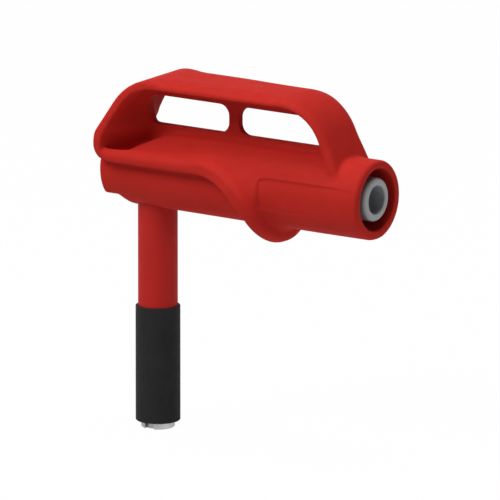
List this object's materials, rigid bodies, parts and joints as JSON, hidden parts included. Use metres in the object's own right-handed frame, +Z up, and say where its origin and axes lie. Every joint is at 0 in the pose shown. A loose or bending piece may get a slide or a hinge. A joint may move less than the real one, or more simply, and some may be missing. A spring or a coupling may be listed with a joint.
{
  "type": "magnetic socket adapter",
  "caption": "Right-angle adapter: a shrouded 4 mm socket in a moulded finger grip, wired to a sprung magnetic contact at the foot of an insulated stem.",
  "frame": {"origin": "centre of the magnet's contact face", "axes": "+Z up the stem's axis, +X along the barrel's axis towards the socket's mouth, +Y across"},
  "size_m": [0.0489, 0.0188, 0.0574],
  "materials": {
    "moulded_red": "satin moulded polyamide",
    "tube_red": "satin extruded polyamide",
    "soft_black": "matte sleeve",
    "insulator_grey": "satin moulded polyamide",
    "nickel_brass": "nickel plated, satin",
    "spring_steel": "bright spring steel",
    "bronze": "sintered, dull",
    "nickel_steel": "nickel plated, satin",
    "nickel_magnet": "nickel plated, satin"
  },
  "bodies": {
    "adapter": {"grip_housing": "moulded_red", "stem_tube": "tube_red", "tip_sleeve": "soft_black", "socket_insulator": "insulator_grey", "female_contact": "nickel_brass", "contact_collar": "spring_steel", "rod_washer": "spring_steel", "stem_rod": "nickel_brass", "guide_bush": "bronze", "contact_spring": "spring_steel"},
    "contact_tip": {"plunger_pin": "nickel_brass", "magnet_cup": "nickel_steel", "magnet": "nickel_magnet"}
  },
  "joints": [
    {"name": "tip_travel", "type": "slide", "parent": "adapter", "child": "contact_tip", "axis": [0, 0, 1], "range_m": [0, 0.0011], "stiffness_N_per_m": 400, "springref_m": -0.0015, "deforming": ["contact_spring"]}
  ]
}
